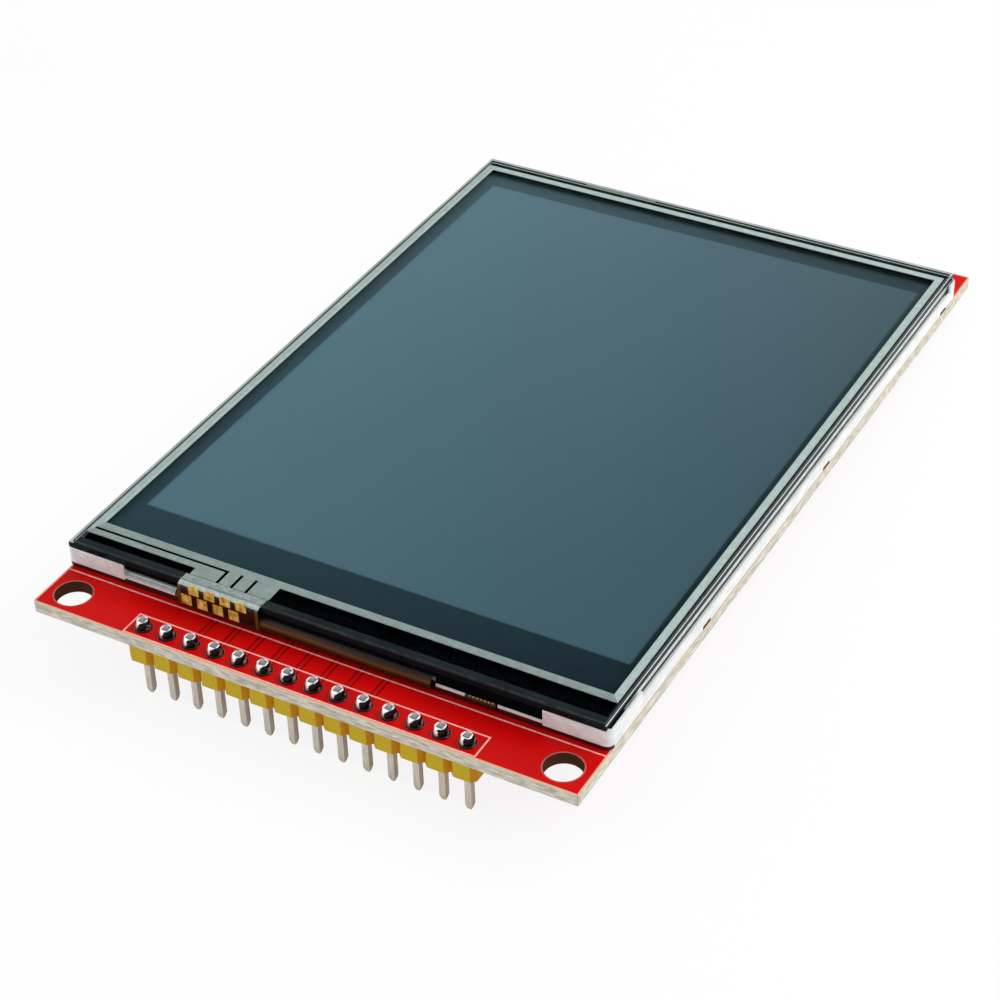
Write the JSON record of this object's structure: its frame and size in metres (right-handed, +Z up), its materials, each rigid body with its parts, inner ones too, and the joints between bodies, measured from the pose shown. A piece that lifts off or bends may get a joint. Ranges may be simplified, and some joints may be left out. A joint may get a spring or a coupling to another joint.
{
  "type": "tft display module",
  "caption": "Touch TFT display module on a red circuit board, with pin header in front and a memory-card socket underneath",
  "frame": {"origin": "centre of the four mounting holes, on the underside of the board", "axes": "X runs along the pin header (board width), Y from the header end to the far end (board length), Z up out of the display"},
  "size_m": [0.0557, 0.0892, 0.0104],
  "materials": {
    "red_laminate": "gloss solder mask",
    "tinned_copper": "bright tin",
    "yellow_nylon": "moulded",
    "pin_metal": "plated",
    "solder": "bright",
    "white_tape": "foam",
    "white_film": "satin",
    "white_plastic": "moulded",
    "clear_acrylic": "clear",
    "amber_polyimide": "satin",
    "led_body": "moulded",
    "clear_film": "prismatic",
    "black_tape": "matte",
    "polariser": "satin",
    "display_glass": "polished",
    "silicon": "ground",
    "silver_ink": "printed silver",
    "touch_film": "satin film",
    "black_plastic": "moulded",
    "shell_steel": "plated sheet",
    "gold_plate": "gold plated",
    "chip_epoxy": "moulded epoxy",
    "capacitor_ceramic": "fired ceramic"
  },
  "bodies": {
    "root": {"pcb": "red_laminate", "copper_pads": "tinned_copper", "header_housing": "yellow_nylon", "header_pins": "pin_metal", "header_solder": "solder", "display_tape": "white_tape", "reflector_sheet": "white_film", "backlight_frame": "white_plastic", "light_guide": "clear_acrylic", "led_flex": "amber_polyimide", "backlight_leds": "led_body", "diffuser_sheet": "white_film", "lower_prism_sheet": "clear_film", "upper_prism_sheet": "clear_film", "rim_tape": "black_tape", "rear_polariser": "polariser", "tft_glass": "display_glass", "colour_filter_glass": "display_glass", "front_polariser": "polariser", "driver_chip": "silicon", "ledge_tape": "black_tape", "main_flex": "amber_polyimide", "main_flex_solder": "solder", "touch_adhesive": "black_tape", "touch_glass": "display_glass", "touch_traces": "silver_ink", "touch_film": "touch_film", "touch_tail": "amber_polyimide", "socket_base": "black_plastic", "socket_shell": "shell_steel", "socket_contacts": "gold_plate", "touch_controller": "chip_epoxy", "controller_leads": "tinned_copper", "regulator": "chip_epoxy", "regulator_leads": "tinned_copper", "backlight_transistor": "chip_epoxy", "transistor_leads": "tinned_copper", "resistors": "chip_epoxy", "resistor_caps": "tinned_copper", "capacitors": "capacitor_ceramic", "capacitor_caps": "tinned_copper"}
  },
  "joints": []
}
